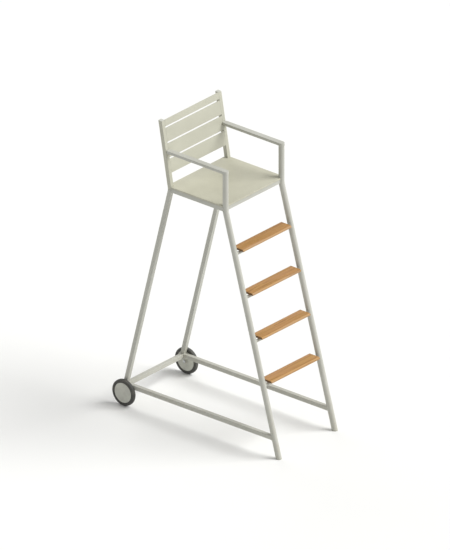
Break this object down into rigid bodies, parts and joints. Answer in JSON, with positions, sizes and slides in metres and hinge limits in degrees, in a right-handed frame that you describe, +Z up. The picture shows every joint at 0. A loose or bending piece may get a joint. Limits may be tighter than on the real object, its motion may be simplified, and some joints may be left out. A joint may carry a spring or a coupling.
{
  "type": "tennis umpire chair",
  "caption": "Tall umpire chair on a tube frame, with wooden treads between leaning front legs, a flat seat with armrests, a slatted back and transport wheels at the rear.",
  "frame": {"origin": "on the floor, under the middle of the whole chair's box", "axes": "+Z up, -Y the way the sitter faces, +X to the right as seen from the front"},
  "size_m": [0.676, 1.4458, 2.2],
  "materials": {
    "frame_paint": "pale grey-cream powder coat, satin",
    "board": "warm cream coated board, satin",
    "wood": "light brown varnished wood",
    "cap_plastic": "pale grey-cream moulded plastic",
    "foot_rubber": "pale grey moulded rubber",
    "steel": "zinc-plated steel",
    "tyre_rubber": "dark grey solid rubber",
    "wheel_plastic": "pale grey-cream moulded plastic",
    "bush_plastic": "white slippery plastic"
  },
  "bodies": {
    "frame": {"armrest_left": "frame_paint", "armrest_post_left": "frame_paint", "armrest_post_right": "frame_paint", "armrest_right": "frame_paint", "axle_bolt_left": "steel", "axle_bolt_right": "steel", "axle_lug_left": "frame_paint", "axle_lug_right": "frame_paint", "axle_nut_left": "steel", "axle_nut_right": "steel", "axle_washers_left": "steel", "axle_washers_right": "steel", "back_post_cap_left": "cap_plastic", "back_post_cap_right": "cap_plastic", "back_post_left": "frame_paint", "back_post_right": "frame_paint", "backrest_slat_1": "frame_paint", "backrest_slat_2": "frame_paint", "backrest_slat_3": "frame_paint", "backrest_slat_4": "frame_paint", "base_rail_cap_left": "cap_plastic", "base_rail_cap_right": "cap_plastic", "base_rail_left": "frame_paint", "base_rail_right": "frame_paint", "foot_left": "foot_rubber", "foot_right": "foot_rubber", "front_leg_left": "frame_paint", "front_leg_right": "frame_paint", "rear_cross_tube": "frame_paint", "rear_leg_left": "frame_paint", "rear_leg_right": "frame_paint", "seat_front_rail": "frame_paint", "seat_panel": "board", "seat_rear_rail": "frame_paint", "seat_screws": "steel", "seat_side_rail_left": "frame_paint", "seat_side_rail_right": "frame_paint", "tread_1": "wood", "tread_2": "wood", "tread_3": "wood", "tread_4": "wood", "tread_bearer_1": "frame_paint", "tread_bearer_2": "frame_paint", "tread_bearer_3": "frame_paint", "tread_bearer_4": "frame_paint", "tread_rung_1": "frame_paint", "tread_rung_2": "frame_paint", "tread_rung_3": "frame_paint", "tread_rung_4": "frame_paint", "tread_screws": "steel"},
    "wheel_left": {"wheel_tyre_left": "tyre_rubber", "wheel_core_left": "wheel_plastic", "wheel_cover_outer_left": "wheel_plastic", "wheel_cover_inner_left": "wheel_plastic", "wheel_bush_left": "bush_plastic"},
    "wheel_right": {"wheel_tyre_right": "tyre_rubber", "wheel_core_right": "wheel_plastic", "wheel_cover_outer_right": "wheel_plastic", "wheel_cover_inner_right": "wheel_plastic", "wheel_bush_right": "bush_plastic"}
  },
  "joints": [
    {"name": "wheel_left_spin", "type": "hinge", "parent": "frame", "child": "wheel_left", "pos_m": [-0.325, 0.62794, 0.095], "axis": [1, 0, 0], "continuous": true},
    {"name": "wheel_right_spin", "type": "hinge", "parent": "frame", "child": "wheel_right", "pos_m": [0.325, 0.62794, 0.095], "axis": [1, 0, 0], "continuous": true}
  ]
}
